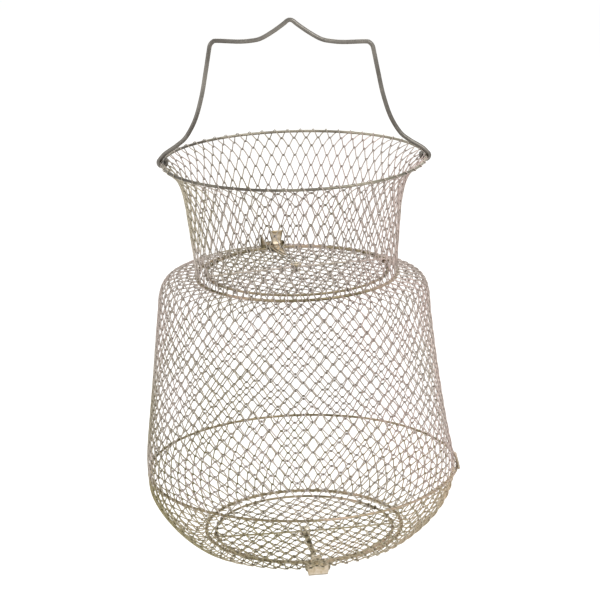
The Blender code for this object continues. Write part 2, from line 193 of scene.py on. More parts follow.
# A round wire: a circle carried along the path, square to it, starting towards the reference direction. The
# swell is a factor on its radius, for each point or for all. Ends that are not closed are rounded over.
def addWire(shape, path, radius, reference, sides=8, closed=False, mark=None, swell=1.0):
    path = np.asarray(path, float)
    radii = radius * np.broadcast_to(swell, len(path))
    if not closed:
        way, ends = directions(path), len(domeOut)
        head = path[0] - way[0] * radii[0] * domeOut[:, None]
        tail = path[-1] + way[-1] * radii[-1] * domeOut[::-1, None]
        path = np.concatenate([head, path, tail])
        radii = np.concatenate([radii[0] * domeWide, radii, radii[-1] * domeWide[::-1]])
        if mark is not None:
            mark = np.pad(mark, ends, mode="edge")
        if np.ndim(reference) == 2:
            reference = np.pad(reference, ((ends, ends), (0, 0)), mode="edge")
    way = directions(path, closed)
    reference = np.broadcast_to(np.asarray(reference, float), path.shape)
    side = unit(reference - way * np.sum(reference * way, axis=1, keepdims=True))
    over = np.cross(way, side)
    angle = np.arange(sides) * 2 * math.pi / sides
    circle = side[:, None] * np.cos(angle)[:, None] + over[:, None] * np.sin(angle)[:, None]
    grid = path[:, None] + circle * radii[:, None, None]
    around = np.arange(sides + 1) * 2 * math.pi * radius / sides
    shape.add(grid, lengthsAlong(path, closed), around, closed, mark)


# Points on a smooth curve through the given ones, evenly spaced along it: a Catmull-Rom spline, in a number
# of steps from each knot to the next, measured along and shared out
def smoothPath(knots, count, steps=24):
    knots = np.asarray(knots, float)
    padded = np.concatenate([2 * knots[:1] - knots[1:2], knots, 2 * knots[-1:] - knots[-2:-1]])
    a, b, c, d = (padded[start:len(padded) - 3 + start, None] for start in range(4))
    t = np.linspace(0, 1, steps, endpoint=False)[None, :, None]
    bend, twist = 2 * a - 5 * b + 4 * c - d, 3 * b - a - 3 * c + d
    fine = 0.5 * (2 * b + (c - a) * t + bend * t ** 2 + twist * t ** 3)
    fine = np.concatenate([fine.reshape(-1, knots.shape[1]), knots[-1:]])
    lengths = lengthsAlong(fine)
    wanted = np.linspace(0, lengths[-1], count)
    return np.stack([np.interp(wanted, lengths, column) for column in fine.T], axis=-1)


# Colours and finishes

# Linear colour of an sRGB hex value
def fromHex(text):
    channels = np.array([int(text[i:i + 2], 16) / 255 for i in (0, 2, 4)])
    linear = np.where(channels <= 0.04045, channels / 12.92, ((channels + 0.055) / 1.055) ** 2.4)
    return (*linear.tolist(), 1.0)


# Adds one shader node, with its settings by keyword and its inputs as values or as other nodes' outputs
def addNode(tree, kind, inputs=None, **settings):
    made = tree.nodes.new("ShaderNode" + kind)
    for key, value in settings.items():
        setattr(made, key, value)
    for key, value in (inputs or {}).items():
        socket = made.inputs[key]
        if isinstance(value, bpy.types.NodeSocket):
            tree.links.new(value, socket)
        else:
            socket.default_value = value
    return made


# A zinc-plated wire or sheet: a base colour that drifts through two passivation tints in patches and leans
# darker towards -x and -y as painted shade, goes dark at the links and bent rims as painted shade with some
# tarnish, and has drawing marks along the wire.
def platedMetal(look):
    material = bpy.data.materials.new(look["name"])
    material.use_nodes = True
    tree = material.node_tree
    shader = tree.nodes["Principled BSDF"]
    shader.inputs["Metallic"].default_value = look["metallic"]
    place = addNode(tree, "TexCoord").outputs["Object"]
    drift = addNode(tree, "TexNoise", {
        "Vector": place, "Scale": 1 / (look["patch"] * mm), "Detail": 3.0, "Roughness": 0.55,
    }).outputs["Fac"]
    # The lean makes the tint darker towards -x and -y: painted shade
    lean = [share / look["leanReach"] for share in look["lean"]] + [0]
    across = addNode(tree, "VectorMath", {0: place, 1: lean}, operation="DOT_PRODUCT").outputs["Value"]
    driftAndShade = addNode(tree, "Math", {0: across, 1: drift}, operation="ADD").outputs["Value"]
    tint = addNode(tree, "ValToRGB", {"Fac": driftAndShade})
    tint.color_ramp.elements.new(look["tintStops"][1])
    *tints, wornTint = (fromHex(tone) for tone in look["tints"])
    for stop, at, tone in zip(tint.color_ramp.elements, look["tintStops"], tints):
        stop.position = at
        stop.color = tone
    speck = addNode(tree, "TexNoise", {
        "Vector": place, "Scale": 1 / (look["speck"] * mm), "Detail": 2.0, "Roughness": 0.6,
    }).outputs["Fac"]
    speckShare = addNode(tree, "MapRange", {
        "Value": speck, "From Min": look["speckFrom"], "From Max": look["speckTo"],
        "To Max": look["speckShare"],
    }).outputs["Result"]
    worn = addNode(tree, "Mix", {
        "Factor": speckShare, "A": tint.outputs["Color"], "B": wornTint,
    }, data_type="RGBA").outputs["Result"]
    # Where the points are marked, at links, ears and rims, it darkens: painted shade with some tarnish
    link = addNode(tree, "Attribute", attribute_name="link").outputs["Fac"]
    linkShadeShare = addNode(tree, "Math", {0: link, 1: look["linkShadeShare"]}, operation="MULTIPLY")
    rubAndShade = addNode(tree, "Mix", {
        "Factor": linkShadeShare.outputs["Value"], "A": worn, "B": fromHex(look["rubAndShade"]),
    }, data_type="RGBA").outputs["Result"]
    haze = addNode(tree, "MapRange", {
        "Value": drift, "From Min": look["hazeFrom"], "From Max": look["hazeTo"],
        "To Min": look["roughness"] - look["hazeLess"], "To Max": look["roughness"] + look["hazeMore"],
    }).outputs["Result"]
    uv = addNode(tree, "UVMap", uv_map="alongWire").outputs["UV"]
    perMark = (1 / (look["markLength"] * mm), 1 / (look["markWidth"] * mm), 1)
    stretch = addNode(tree, "Mapping", {"Vector": uv, "Scale": perMark}).outputs["Vector"]
    marks = addNode(tree, "TexNoise", {
        "Vector": stretch, "Scale": 1.0, "Detail": 2.0,
    }, noise_dimensions="2D").outputs["Fac"]
    bump = addNode(tree, "Bump", {
        "Height": marks, "Strength": look["markStrength"], "Distance": look["markDepth"] * mm,
    }).outputs["Normal"]
    for socket, output in (("Base Color", rubAndShade), ("Roughness", haze), ("Normal", bump)):
        tree.links.new(output, shader.inputs[socket])
    return material


# What the finishes share. Lengths are in mm. The tint leans to pale towards +x and +y, by the lean's two
# shares at leanReach metres from the axis: painted shade, darker on the -x and -y sides. Drawing marks are
# really some 0.02 mm wide, too fine to show: they are drawn ten times as coarse.
plain = {
    "metallic": 1.0, "lean": (0.0, 0.0), "leanReach": 0.15, "tintStops": (0.34, 0.5, 0.66),
    "speckShare": 0.3, "speckFrom": 0.52, "speckTo": 0.72,
    "linkShadeShare": 0.0, "rubAndShade": "5b554b", "hazeFrom": 0.3, "hazeTo": 0.7, "hazeLess": 0.07, "hazeMore": 0.09,
    "markLength": 6.0, "markWidth": 0.25, "markDepth": 0.03, "markStrength": 0.35,
}
# Netting wire leans darker towards -x: painted shade
nettingWire = {
    "patch": 90, "speck": 2, "roughness": 0.44, "linkShadeShare": 0.7, "markWidth": 0.2, "lean": (0.11, 0.0),
}
# Stamped sheet darkens at its ears and rims: painted shade of the bent edges
stampedSheet = {"speck": 0.8, "roughness": 0.42, "markWidth": 0.5, "markLength": 3, "rubAndShade": "4f4933"}
# Each finish's tints are dark, base, pale and worn
finishes = {
    # Drawn steel wire with dull grey zinc plate: soft grey with a faint yellow cast, no sharp mirror
    "handleZinc": {
        "name": "dull zinc plated drawn wire", "tints": ("625e58", "74706a", "8b867e", "9c978f"),
        "patch": 45, "speck": 3, "speckShare": 0.35, "roughness": 0.38,
    },
    # Ring wire with yellow chromate over zinc: olive brown that drifts to brass and to a pinkish silver,
    # darker towards -x as painted shade
    "ringChromate": {
        "name": "yellow passivated zinc ring wire", "tints": ("695f46", "94876d", "b5a18d", "bdb19d"),
        "patch": 38, "speck": 2.5, "roughness": 0.36, "lean": (0.1, 0.0),
    },
    # The mouth ring's plate is greyer and duller, darkest at the front left as painted shade
    "mouthZinc": {
        "name": "dull zinc plated ring wire", "tints": ("5d5850", "857f71", "a59e8e", "b2ab9c"),
        "patch": 45, "speck": 2.5, "roughness": 0.38, "lean": (0.1, 0.09),
    },
    # Thin drawn netting wire with a pale chromate over zinc, dark in the links as painted shade with some
    # tarnish
    "nettingZinc": {
        **nettingWire, "name": "pale passivated zinc netting wire",
        "tints": ("a29a87", "b8aea6", "c1b0a9", "d0c8be"),
    },
    # The same netting wire with more yellow left in its chromate, in the bowl and the door
    "nettingYellow": {
        **nettingWire, "name": "yellower passivated zinc netting wire",
        "tints": ("938b69", "aea38b", "baa88f", "c8bfa9"),
    },
    # Stamped sheet steel with a thick yellow chromate: warm brass with a pale bloom
    "sheetChromate": {
        **stampedSheet, "name": "yellow passivated stamped sheet", "patch": 7, "linkShadeShare": 0.75,
        "tints": ("a49373", "c4b59e", "d6cab9", "867860"),
    },
    # The same sheet, darker and olive under the door's netting: partly its chromate, partly painted shade of
    # the strap
    "sheetOliveShaded": {
        **stampedSheet, "name": "olive passivated and shaded stamped sheet", "patch": 9, "linkShadeShare": 0.5,
        "tints": ("5a533c", "756c50", "8f8568", "4e4734"),
    },
    # Hard-drawn spring wire under the same chromate: darker than the netting and glossier than the rings
    "springChromate": {
        "name": "yellow passivated spring wire", "tints": ("686046", "857b5f", "a59b7c", "b3a98e"),
        "patch": 20, "speck": 2, "roughness": 0.32,
    },
    # Bright zinc on pins and rivets: pale, with the sharpest gleam on the net
    "pinZinc": {
        "name": "bright zinc plated pins", "tints": ("a0957c", "c2b9a6", "dad2c2", "8a8069"),
        "patch": 4, "speck": 0.7, "speckShare": 0.35, "roughness": 0.30, "markWidth": 0.3, "markLength": 2,
    },
}
metals = {title: platedMetal({**plain, **look}) for title, look in finishes.items()}
print("finishes ready")


# Rings: their radius to the wire's middle and their height are read from the frame
rings = {
    "mouth": {"wire": 1.5 * mm, "metal": "mouthZinc", "weldAt": 62, "seed": 0.7},
    "neck": {"wire": 1.5 * mm, "metal": "ringChromate", "weldAt": 200, "seed": 1.7},
    "bottom": {"wire": 1.5 * mm, "metal": "ringChromate", "weldAt": 140, "seed": 2.7},
    "belly": {"wire": 1.3 * mm, "metal": "ringChromate"},
}
for title, ring in rings.items():
    low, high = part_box(f"{title}_ring")
    ring["radius"], ring["z"] = (high.x - low.x) / 2 - ring["wire"], (high.z + low.z) / 2

# Unevenness of hand-bent rings. The four numbers of a kind of ring are how much it wanders in two lobes and
# in three, and how far its seed turns the three lobes and the rise.
wobble = {
    "flat": 0.25 * mm, "out": 0.5 * mm, "points": 240,
    "welded": (0.6, 0.4, 2.1, 1.7), "panel": (0.6, 0.3, 0.0, 1.0),
    "weldSwell": 0.22, "weldLength": 1.8 * mm,
}
ringAngles = np.arange(wobble["points"]) * 2 * math.pi / wobble["points"]


# A circle that wanders a little out and up, as sums of sines of twice and three times the angle
def ringPath(radius, z, seed, lobes, startAt=0.0):
    two, three, turnThree, turnRise = lobes
    angle = ringAngles + startAt
    wander = two * np.sin(2 * angle + seed) + three * np.sin(3 * angle + turnThree * seed)
    out = radius + wobble["out"] * wander
    up = z + wobble["flat"] * np.sin(2 * angle + turnRise * seed)
    return pointsAt(out * np.cos(angle), out * np.sin(angle), up)


# A welded ring: the wandering circle, swollen by a bell curve of the distance from its butt weld
def makeRing(title):
    ring = rings[title]
    path = ringPath(ring["radius"], ring["z"], ring["seed"], wobble["welded"], math.radians(ring["weldAt"]))
    fromWeld = ring["radius"] * np.minimum(ringAngles, 2 * math.pi - ringAngles)
    swell = 1 + wobble["weldSwell"] * np.exp(-(fromWeld / wobble["weldLength"]) ** 2)
    shape = Shape()
    addWire(shape, path, ring["wire"], (0, 0, 1), sides=14, closed=True, swell=swell)
    shape.build(f"{title}RingWire", ring["metal"], title, f"{title}_ring", "ring_wire")


for title in ("mouth", "neck", "bottom"):
    makeRing(title)

# Angles are in degrees, and spans in overlaps
bellyEnds = {
    "overlap": 9.0, "poke": 2.8 * mm, "pokeCurve": 1.5, "bulge": 2.2 * mm, "bulgeAngle": 16.0,
    "apart": 1.02, "apartSpan": 1.6, "points": 320,
}


# The belly ring isn't welded shut: its two ends cross at the right, bulge out there and poke through the
# netting. Its radius is the ring's own, plus a bump that falls off as a bell curve from the crossing, and one
# end lies above the other.
def makeBellyRing():
    ring = rings["belly"]
    lap = math.radians(bellyEnds["overlap"])
    angle = np.linspace(-lap, 2 * math.pi + lap, bellyEnds["points"])
    fromCross = np.minimum(np.abs(angle), np.abs(2 * math.pi - angle))
    bump = bellyEnds["bulge"] * np.exp(-(fromCross / math.radians(bellyEnds["bulgeAngle"])) ** 2)
    past = np.clip(-angle / lap, 0, 1) + np.clip((angle - 2 * math.pi) / lap, 0, 1)
    out = ring["radius"] + bump + bellyEnds["poke"] * past ** bellyEnds["pokeCurve"]
    side = np.where(angle < math.pi, 1.0, -1.0)
    near = np.exp(-(fromCross / (bellyEnds["apartSpan"] * lap)) ** 4)
    up = ring["z"] + side * near * ring["wire"] * bellyEnds["apart"]
    shape = Shape()
    path = pointsAt(out * np.cos(angle), out * np.sin(angle), up)
    addWire(shape, path, ring["wire"], (0, 0, 1), sides=12)
    shape.build("bellyRingWire", ring["metal"], "belly", "belly_ring", "ring_wire")


makeBellyRing()
print("rings made")


# Handle: the bail's centreline, from one hook's tip over the peak to the other hook's tip
bail = {
    "wire": 2.3 * mm,
    "rise": 146.4 * mm,          # peak above the mouth ring
    "shoulderRise": 124.0 * mm,
    "shoulderHalf": 83.0 * mm,
    "hookRadius": 4.0 * mm,
    "hookDrop": 3.9 * mm,        # lowest point of the hook's middle line below the ring's
    "hookTurn": (360, 148),      # degrees, from its tip round under the ring
    "hookPoints": 12,
    "tipIn": 0.2 * mm,
    "tipRise": 2.6 * mm,
    "tilt": 0.032,               # how far the crown drops to the right, per metre
    "spread": 1.3 * mm,          # how much further out the right shoulder is
    # shares of the way out from shoulder to ring, and of the way up to the shoulder
    "leg": [(0.965, 0.066), (0.860, 0.098), (0.700, 0.143), (0.519, 0.212), (0.333, 0.355),
            (0.194, 0.548), (0.102, 0.742), (0.028, 0.911), (0.0, 0.964)],
    # shares of the way out from peak to shoulder, and of the way up from shoulder to peak
    "crown": [(0.964, -0.035), (0.910, 0.013), (0.651, -0.02), (0.494, 0.020),
              (0.368, 0.127), (0.217, 0.450), (0.084, 0.805), (0.036, 0.955)],
    "points": 520,
}


# One half is a hook, a leg and half a crown, joined by a smooth curve and mirrored, then tilted and spread
def makeHandle():
    radius, z, drop = rings["mouth"]["radius"], rings["mouth"]["z"], bail["hookRadius"] - bail["hookDrop"]
    turn = arc(bail["hookTurn"], bail["hookPoints"])
    hook = pointsAt(np.cos(turn), np.sin(turn)) * bail["hookRadius"] + (-radius, drop)
    tip = [(-radius + bail["hookRadius"] + bail["tipIn"], bail["tipRise"])]
    legRun = (-(radius - bail["shoulderHalf"]), bail["shoulderRise"])
    leg = np.array(bail["leg"]) * legRun + (-bail["shoulderHalf"], 0)
    crownRun = (-bail["shoulderHalf"], bail["rise"] - bail["shoulderRise"])
    crown = np.array(bail["crown"]) * crownRun + (0, bail["shoulderRise"])
    half = np.concatenate([tip, hook, leg, crown])
    whole = np.concatenate([half, [(0.0, bail["rise"])], half[::-1] * (-1, 1)])
    across, rise = smoothPath(whole, bail["points"]).T
    up = np.clip(rise / bail["shoulderRise"], 0, 1)
    out = np.clip(across / bail["shoulderHalf"], 0, 1)
    x, height = across + bail["spread"] * up * out, rise - bail["tilt"] * across * up + z
    shape = Shape()
    addWire(shape, pointsAt(x, 0, height), bail["wire"], (0, 1, 0), sides=16)
    shape.build("handleWire", "handleZinc", "handle", "handle", "handle_wire")


makeHandle()
print("handle made")


# Netting: each row is one wire bent to and fro round the net, hooked into the rows above and below
netting = {
    "wire": 0.66 * mm,       # half the wire's thickness
    "bend": 1.05 * mm,       # radius of the bends, to the wire's middle
    "bendRise": 0.6,         # share of a bend's radius that its leg loses in height
    "overlap": 1.34 * mm,    # how far two hooked bends reach past each other
    "step": 0.6 * mm,        # how far a leg lies in or out from the net's middle surface
    "legLength": 1.45,       # in half widths of a cell
    "leastRise": 0.62,       # share of a leg's length that a row rises at least
    "ringGap": 0.05 * mm,
    "ringLoop": 0.66,        # share of the wire's thickness where it is drawn tight round a ring
    "loopBend": 0.95,        # a loop's bend, as a share of its reach round the ring
    "sides": 6, "profilePoints": 600,
}

# A cell of the wave is a bend, a leg, a bend and a leg: how far round its bend each point lies, how many
# points each has, how far out or in they lie, and how dark they are: painted shade where the bends hook into
# the next row, with some tarnish
bendShare = np.linspace(-1, 1, 7)
cellRuns = [7, 1, 7, 1]
cellOut = np.sin(bendShare * math.pi / 2)
cellOut = np.concatenate([cellOut, [1], -cellOut, [-1]])
bendShade = np.array([0.2, 0.7, 1, 1, 1, 0.7, 0.2, 0] * 2)

# The unevenness of handwork, as slow waves that bunch the cells, lift the rows and dent the wall: how much,
# how many times round the net, how much turn per metre down, and how many times the seed
uneven = {
    "bunch": [(0.011, 3, 14, 1), (0.007, 7, -31, 2)],
    "lift": [(1.3 * mm, 2, 0, 1.9), (0.8 * mm, 5, 23, 0)],
    "dent": [(0.9 * mm, 4, 17, 1), (0.6 * mm, 9, -29, 0)],
}


# Sum of the sine waves of one kind, over the angle round the net and the distance down it
def waves(kind, phi, down, seed):
    return sum(much * np.sin(n * phi + slant * down + turn * seed) for much, n, slant, turn in uneven[kind])


# One cell of each row, across and down: the upper bend, from the rising leg over to the falling one, the leg,
# the lower bend and the next leg. The values are half a cell's width, how far down its bends reach and the
# radii of the bends, each a single number, or one for each row.
def cellWave(*values):
    halfWidth, top, low, topBend, lowBend = (np.reshape(value, (-1, 1)) for value in values)
    lean = np.arctan2(halfWidth, low - top - netting["bendRise"] * (topBend + lowBend))
    sweep = (math.pi / 2 - lean) * bendShare
    topAcross, topDown = topBend * np.sin(sweep), top + topBend * (1 - np.cos(sweep))
    lowAcross, lowDown = halfWidth + lowBend * np.sin(sweep), low - lowBend * (1 - np.cos(sweep))
    fall, climb = topAcross[:, -1:] + lowAcross[:, :1], lowAcross[:, -1:] + 2 * halfWidth + topAcross[:, :1]
    fallDown, climbDown = topDown[:, -1:] + lowDown[:, :1], lowDown[:, -1:] + topDown[:, :1]
    across = np.concatenate([topAcross, fall / 2, lowAcross, climb / 2], axis=1)
    return across, np.concatenate([topDown, fallDown / 2, lowDown, climbDown / 2], axis=1)


# One wall of netting. The profile runs down the wall as (radius, height), from ring to ring. A point of a
# row lies at angle phi round the net and at a distance down the profile, moved out or in along the profile's
# normal: out on the legs that go down, in on those that come up, swapping over in the bends, so that each
# bend clasps the bend of the next row.
def makeWall(name, wall):
    cells, rows, upper = wall["cells"], wall["rows"], rings[wall["upper"]]
    profile = [(upper["radius"], upper["z"])]
    profile += [(radius, upper["z"] - drop) for radius, drop in wall["points"]]
    edgeWires = [upper["wire"], 0.0]
    if wall["lower"]:
        lower = rings[wall["lower"]]
        profile.append((lower["radius"], lower["z"]))
        edgeWires[1] = lower["wire"]
    fine = smoothPath(profile, netting["profilePoints"])
    reach = lengthsAlong(fine)
    slope = np.gradient(fine, axis=0)
    outward = unit(pointsAt(-slope[:, 1], slope[:, 0]))
    # Rows stand closer where the net is wide, because every leg has the same length
    half = math.pi * fine[:, 0] / cells
    leg = netting["legLength"] * (np.min(half) + np.max(half)) / 2
    density = 1 / np.sqrt(np.maximum(leg ** 2 - half ** 2, (netting["leastRise"] * leg) ** 2))
    along = np.concatenate([[0], np.cumsum(0.5 * (density[1:] + density[:-1]) * np.diff(reach))])
    lines = np.interp(np.linspace(0, along[-1], rows + 1), along, reach)

    # Rows are hooked into each other, and the first and the last are looped round the rings
    k = np.arange(*wall["part"])
    first, last, nowhere = k == 0, k == rows - 1, k < 0
    over, step = netting["overlap"] / 2, netting["step"]
    topLoop, lowLoop = (
        edge + netting["ringLoop"] * netting["wire"] + netting["ringGap"] for edge in edgeWires
    )
    top = np.where(first, lines[0] - topLoop, lines[k] - over)
    low = np.where(last, lines[-1] + lowLoop, lines[k + 1] + over)
    topBend = np.where(first, topLoop * netting["loopBend"], netting["bend"])
    lowBend = np.where(last, lowLoop * netting["loopBend"], netting["bend"])
    halfWidth = math.pi * np.interp((lines[k] + lines[k + 1]) / 2, reach, fine[:, 0]) / cells
    across, down = cellWave(halfWidth, top, low, topBend, lowBend)
    legOut = np.full(len(k), step)
    outBy = np.stack([np.where(first, topLoop, step), legOut, np.where(last, lowLoop, step), legOut], axis=1)
    offset = np.tile(np.repeat(outBy, cellRuns, axis=1) * cellOut, (1, cells))
    onRing = np.repeat(np.stack([first, nowhere, last, nowhere], axis=1), cellRuns, axis=1)

    # All the cells of every row, with their unevenness and a sideways sag between the rings
    turn = (np.arange(cells)[None, :, None] + across[:, None, :] / (2 * halfWidth)[:, None, None]) / cells
    turn = turn + (0.5 * (k % 2) + wall["phase"])[:, None, None] / cells
    phi = 2 * math.pi * turn.reshape(len(k), -1)
    down, seed = np.tile(down, (1, cells)), wall["seed"]
    bite = np.sin(math.pi * np.clip(down / reach[-1], 0, 1))
    angle = phi + wall["warp"] * np.cos(phi) + bite * waves("bunch", phi, down, seed)
    down = down + bite * waves("lift", phi, down, seed)
    offset = offset + bite * waves("dent", phi, down, seed) - np.sqrt(bite) * wall["sag"] * np.cos(phi)
    # Past the ends of the profile a row goes straight on, round the ring's wire
    inside = np.clip(down, 0, reach[-1])
    outR, outZ = (np.interp(inside, reach, column) for column in outward.T)
    radius = np.interp(inside, reach, fine[:, 0]) + outR * offset + outZ * (down - inside)
    height = np.interp(inside, reach, fine[:, 1]) + outZ * offset - outR * (down - inside)
    paths = pointsAt(radius * np.cos(angle), radius * np.sin(angle), height)
    outward = pointsAt(outR * np.cos(angle), outR * np.sin(angle), outZ)
    # Bends are dark where they hook into the next row, painted shade between the overlapping wires with some
    # tarnish, and round a ring they are drawn thinner instead
    marks = np.tile(np.where(onRing, 0, bendShade), (1, cells))
    swells = np.tile(np.where(onRing, netting["ringLoop"], 1), (1, cells))
    shape = Shape()
    for path, way, mark, swell in zip(paths, outward, marks, swells):
        addWire(shape, path, netting["wire"], way, netting["sides"], closed=True, mark=mark, swell=swell)
    # Folded, a wall keeps a share of its height under its upper ring
    joint, span, left = wall["fold"]
    fold = {"joint": joint, "anchor": (0, 0, rings[wall["body"]]["z"]), "keep": left / span}
    shape.build(name, wall["metal"], wall["body"], wall["node"], "mesh_wire", fold)
    print(name, "made")


# Walls. The points between the two rings are (radius, drop below the upper ring). The fold is its joint, the
# wall's height and what is left of it.
collar = {
    "upper": "mouth", "lower": "neck", "points": [
        (0.1240, 0.0110), (0.1165, 0.0260), (0.1115, 0.0480), (0.1080, 0.0780),
        (rings["neck"]["radius"], 0.1050),
    ],
    "cells": 54, "rows": 12, "part": (0, 12), "warp": 0.115, "phase": 0.0, "seed": 0.4, "sag": 1.5 * mm,
    "metal": "nettingZinc", "body": "mouth", "node": "collar_mesh", "fold": ("collar_fold", 0.123, 0.018),
}
barrel = {
    "upper": "neck", "lower": "belly", "points": [
        (0.1240, 0.0025), (0.1370, 0.0090), (0.1418, 0.0220), (0.1434, 0.0420), (0.1488, 0.0900),
        (0.1575, 0.1500), (0.1635, 0.1950),
    ],
    "cells": 62, "rows": 29, "part": (0, 15), "warp": 0.09, "phase": 0.25, "seed": 1.3, "sag": 5.0 * mm,
    "metal": "nettingZinc", "body": "neck", "node": "body_mesh", "fold": ("body_fold", 0.216, 0.028),
}
bowl = {
    "upper": "belly", "lower": "bottom", "points": [
        (0.1610, 0.0220), (0.1480, 0.0440), (0.1310, 0.0620), (0.1150, 0.0725),
    ],
    "cells": 62, "rows": 11, "part": (0, 11), "warp": 0.09, "phase": 0.0, "seed": 2.2, "sag": 3.0 * mm,
    "metal": "nettingYellow", "body": "belly", "node": "bowl_mesh", "fold": ("bowl_fold", 0.070, 0.015),
}
# The bowl's cut edge, bent in over the bottom ring
selvedge = {
    **bowl, "upper": "bottom", "lower": None, "points": [(0.1020, -0.0004), (0.0990, -0.0010)],
    "rows": 1, "part": (0, 1), "phase": 0.25, "seed": 4.1, "sag": 0.0,
}
makeWall("collarNetting", collar)
makeWall("bodyNettingUpper", barrel)
makeWall("bodyNettingLower", {**barrel, "part": (15, 29)})
makeWall("bowlNetting", bowl)
makeWall("bowlSelvedge", selvedge)


# Lids: one closure faces up in the neck, the same one turned over faces down in the bottom.
# In a closure's own directions u runs out to the hinge, v along the hinge and w away from the net.
closure = {
    "ringRadius": 96.0 * mm, "ringWire": 1.3 * mm, "lift": 3.0 * mm,
    "pinWire": 0.9 * mm, "sheet": 0.7 * mm, "strapW": 4.95 * mm, "strapHalf": 6.0 * mm,
}
closures = {
    "lid": {"joint": "lid_hinge", "ring": "neck", "facing": 1, "seed": 3.1, "netting": "nettingZinc"},
    "door": {"joint": "door_hinge", "ring": "bottom", "facing": -1, "seed": 5.6, "netting": "nettingYellow"},
}


# Carries points from a closure's own directions to where it lies: turned over if it faces down,
# turned round to its hinge, and set at its ring's height
def seatOf(made):
    hinge = next(j for j in frame["joints"] if j["name"] == made["joint"])["pos_m"]
    around = math.atan2(hinge[1], hinge[0])
    height = rings[made["ring"]]["z"]

    def seat(points):
        u, v, w = np.moveaxis(np.asarray(points, float) * (1, made["facing"], made["facing"]), -1, 0)
        x, y = u * math.cos(around) - v * math.sin(around), u * math.sin(around) + v * math.cos(around)
        return pointsAt(x, y, w + height)

    return seat, math.hypot(hinge[0], hinge[1]), abs(hinge[2] - height)


# A direction in a closure's own terms, or a row of them, as it lies in the net
def seatWay(seat, direction):
    return seat(direction) - seat((0, 0, 0))


# Half the section of a strip, the other half being its turned copy: degrees round two of its corners, and
# which points lie on the face between them. Corners are a share of the thickness, the least half width is in
# corners, and the face between the rims is at least a share of it.
strip = {
    "turn": np.array([0, 30, 60, 90, 90, 90, 90, 120, 150, 180]), "onFace": [0, 0, 0, 0, 1, 1, 0, 0, 0, 0],
    "corner": 0.42, "rim": 1.6 * mm, "leastHalf": 1.05, "leastFace": 0.2,
}


# A strip of sheet metal: a rectangle with rounded corners carried along the path. Its edges run at the low
# and high distances along the width direction. The mark is 1 in the rim along both edges, as painted shade
# of the bent edges, and mark elsewhere.
def addStrip(shape, path, low, high, thickness, widthWay, mark=0.0, rim=strip["rim"]):
    normal = unit(np.cross(directions(path), widthWay))
    low, high, mark = (np.broadcast_to(np.asarray(edge, float), len(path)) for edge in (low, high, mark))
    corner = strip["corner"] * thickness
    angle, onFace = np.radians(np.append(strip["turn"], strip["turn"] + 180)), np.tile(strip["onFace"], 2)
    signX, signY = np.repeat([1, -1, -1, 1], 5), np.repeat([1, 1, -1, -1], 5)
    middle, half = (low + high) / 2, np.maximum((high - low) / 2, corner * strip["leastHalf"])
    inner = np.maximum(half - corner - rim, strip["leastFace"] * half)
    outer = (half - corner)[:, None] + corner * np.cos(angle) * signX
    x = middle[:, None] + signX * np.where(onFace, inner[:, None], outer)
    y = signY * (thickness / 2 - corner) + corner * np.sin(angle)
    grid = path[:, None] + widthWay * x[..., None] + normal[:, None] * y[None, :, None]
    marks = np.maximum(1 - onFace[None], mark[:, None])
    shape.add(grid, lengthsAlong(path), lengthsAlong(grid[len(path) // 2], True), mark=marks.reshape(-1))


# Distances from 0 to the whole length, closer together towards the ends, for ends that are rounded off
def easedSteps(length, count):
    return length * (1 - np.cos(np.linspace(0, math.pi, count))) / 2


# How far a strip's edges come in at each distance along it, to round off its ends by the given corner radii
def roundedEnds(distance, startCorner, endCorner):
    inset = np.zeros(len(distance))
    for corner, away in ((startCorner, distance), (endCorner, distance[-1] - distance)):
        if corner:
            t = np.clip(1 - away / corner, 0, 1)
            inset = np.maximum(inset, corner * (1 - np.sqrt(1 - t ** 2)))
    return inset


tipRadius = 0.02 * mm      # of the hair-wide cap in the middle of a turned piece's ends


# A turned piece: the profile of (radius, height) carried round the w direction, or v, at the centre
def addTurned(shape, seat, profile, centre, axis, sides):
    profile = np.asarray(profile, float)
    angle = np.arange(sides) * 2 * math.pi / sides
    radius = np.maximum(profile[:, 0], tipRadius)[:, None]
    a, b, h = radius * np.cos(angle), radius * np.sin(angle), profile[:, 1:]
    grid = (pointsAt(a, b, h) if axis == "w" else pointsAt(b, h, a)) + centre
    around = np.append(angle, 2 * math.pi) * np.max(radius)
    shape.add(seat(grid), lengthsAlong(profile), around)


# Profile of a rivet from its foot up, in (radius, height): a shank between two heads, each a dome whose
# radius and height go as the sine and cosine of the angle t
def rivetProfile(low, high, rivet, points=7):
    t = np.linspace(0, math.pi / 2, points)
    foot = pointsAt(rivet["footRadius"] * np.sin(t), low - rivet["footDome"] * np.cos(t))
    head = pointsAt(rivet["headRadius"] * np.cos(t), high + rivet["headDome"] * np.sin(t))
    body = [(rivet["footRadius"], low), (rivet["shank"], low), (rivet["shank"], high)]
    return np.concatenate([foot, body, [(rivet["headRadius"], high)], head])


# Panels. The waves of their wander are in radians per metre along v and u.
panels = {
    "lid": {"pitch": 9.0 * mm, "cell": 15.6 * mm, "seed": 0.8},
    "door": {"pitch": 8.6 * mm, "cell": 15.0 * mm, "seed": 2.9},
}
panelWander = {"along": 0.9 * mm, "alongWaves": (60, 40), "up": 0.5 * mm, "upWaves": (45, 38)}
# The wraps round the ring are half as dark as a bend: painted shade where the wire lies on the ring
panelHook = {"turn": (165, -170), "points": 10, "mark": 0.5, "leastPoints": 4}      # degrees round the ring


